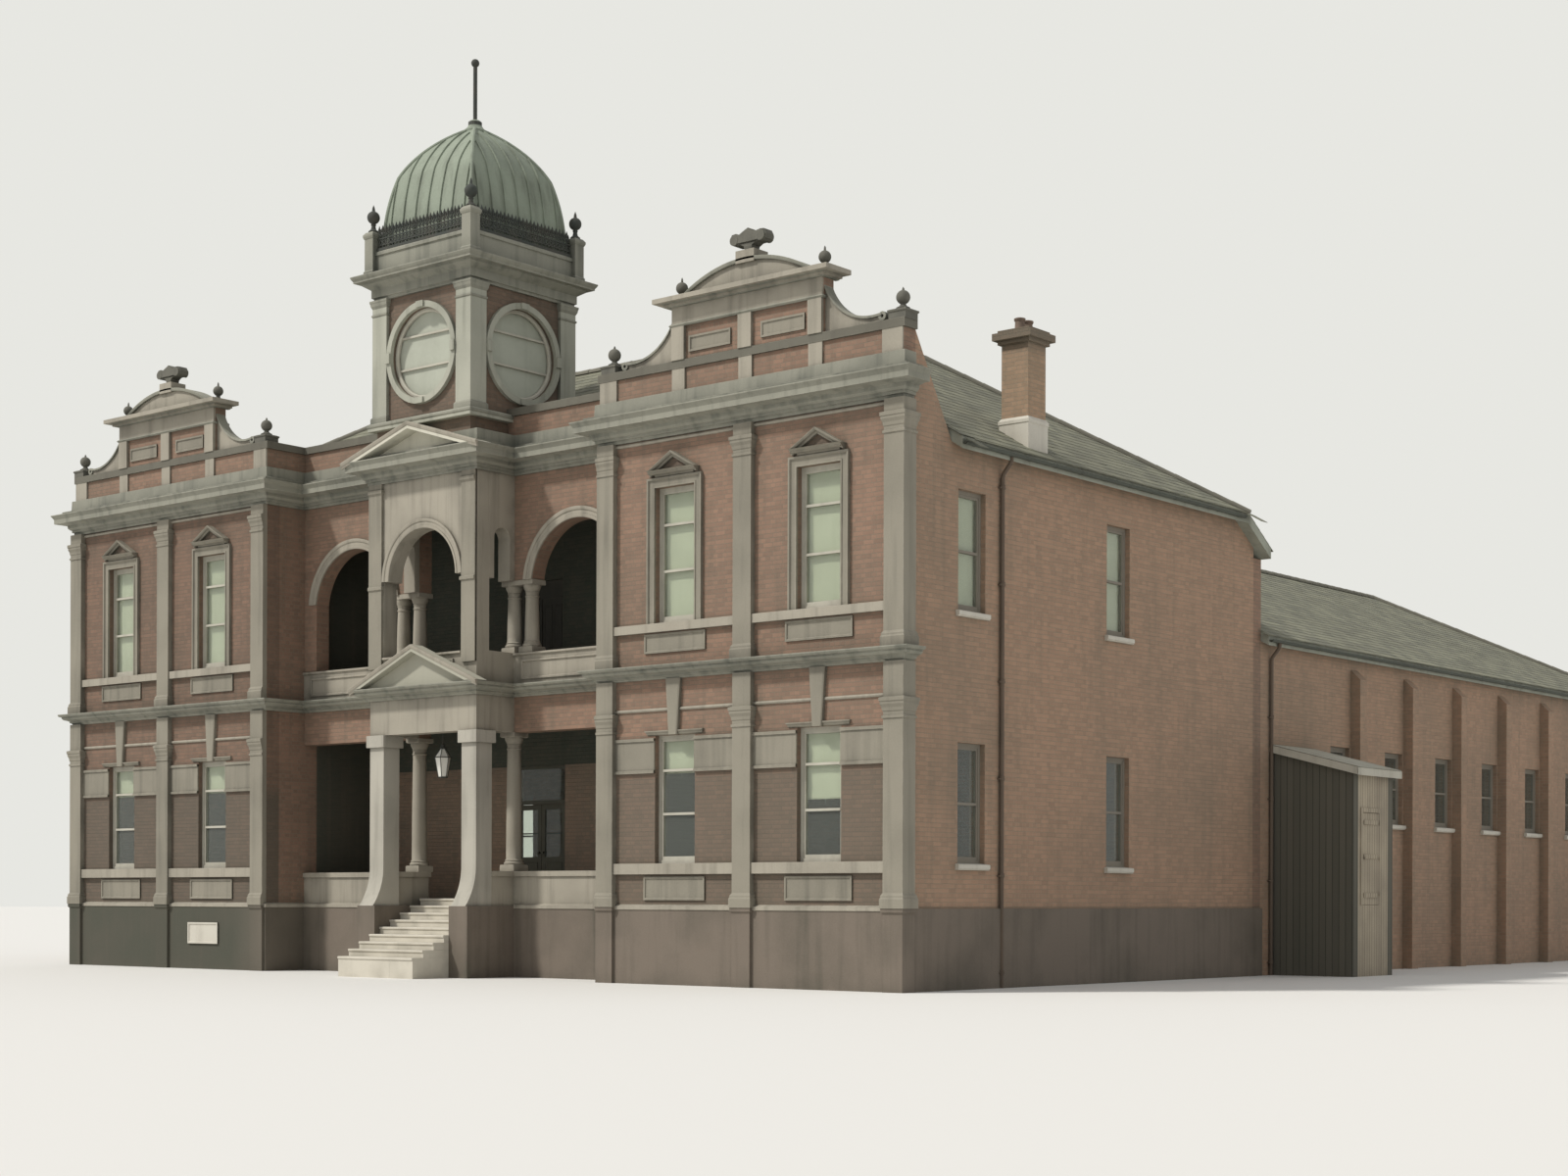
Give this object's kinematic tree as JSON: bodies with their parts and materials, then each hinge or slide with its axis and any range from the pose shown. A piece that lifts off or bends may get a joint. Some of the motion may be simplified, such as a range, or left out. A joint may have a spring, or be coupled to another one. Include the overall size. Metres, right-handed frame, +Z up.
{
  "type": "civic hall building",
  "caption": "Two-storey brick civic hall with an arcaded porch, a square domed tower, two pavilions and a long hall with a lean-to behind.",
  "frame": {"origin": "middle of the front at the lowest ground level", "axes": "+X to the right along the front, +Y back into the building, +Z up"},
  "size_m": [28.41, 39, 20.2],
  "materials": {
    "brick": "faded red brick",
    "stucco": "painted stucco",
    "plinth": "weathered render",
    "steps": "worn stone",
    "slate": "matt slate",
    "metal_roof": "weathered painted sheet",
    "timber_floor": "worn boards",
    "paint": "pale paint",
    "dark_paint": "dark paint",
    "glass": "clear",
    "iron": "dark paint",
    "gutter": "pale paint"
  },
  "bodies": {
    "building": {"arch_surrounds": "stucco", "attic_dressings": "stucco", "centre_arch_sides": "stucco", "centre_arch_wall": "stucco", "chimneys": "brick", "entrance_frame": "paint", "entrance_walls": "brick", "finials": "stucco", "flagpole": "iron", "front_steps": "steps", "ground_floors": "timber_floor", "hall_buttresses": "brick", "hall_floors": "timber_floor", "hall_rear_wall": "brick", "hall_roof": "slate", "hall_side_walls": "brick", "lantern": "paint", "lean_to_end_walls": "dark_paint", "lean_to_outer_wall": "paint", "lean_to_roof": "metal_roof", "left_arch_wall": "brick", "left_front_wall": "brick", "left_side_wall": "brick", "loggia_back_wall": "brick", "loggia_doors": "dark_paint", "main_cornice": "stucco", "main_plinth": "plinth", "main_roof": "slate", "parapet_copings": "stucco", "parapet_walls": "brick", "pediments": "stucco", "pilasters": "stucco", "porch_balustrades": "stucco", "porch_piers": "stucco", "rain_goods": "gutter", "rear_wall": "brick", "return_walls": "brick", "right_arch_wall": "brick", "right_front_wall": "brick", "right_side_wall": "brick", "round_columns": "stucco", "scroll_wings": "stucco", "sill_bands": "stucco", "string_course": "stucco", "tower_cornice": "stucco", "tower_cresting": "iron", "tower_dome": "metal_roof", "tower_dressings": "stucco", "tower_front_rear_walls": "brick", "tower_glass": "glass", "tower_side_walls": "brick", "upper_floors": "timber_floor", "window_frames": "paint", "window_glass": "glass", "window_surrounds": "stucco"},
    "entrance_leaf_left": {"entrance_door_left": "paint", "entrance_pane_left": "glass"},
    "entrance_leaf_right": {"entrance_door_right": "paint", "entrance_pane_right": "glass"},
    "lean_to_leaf": {"lean_to_door": "paint"}
  },
  "joints": [
    {"name": "entrance_left_hinge", "type": "hinge", "parent": "building", "child": "entrance_leaf_left", "pos_m": [-0.776, 3.658, 2.7], "axis": [0, 0, 1], "range_deg": [0, 90]},
    {"name": "entrance_right_hinge", "type": "hinge", "parent": "building", "child": "entrance_leaf_right", "pos_m": [0.776, 3.658, 2.7], "axis": [0, 0, -1], "range_deg": [0, 90]},
    {"name": "lean_to_hinge", "type": "hinge", "parent": "building", "child": "lean_to_leaf", "pos_m": [14.913, 15.346, 2.6], "axis": [0, 0, 1], "range_deg": [0, 90]}
  ]
}
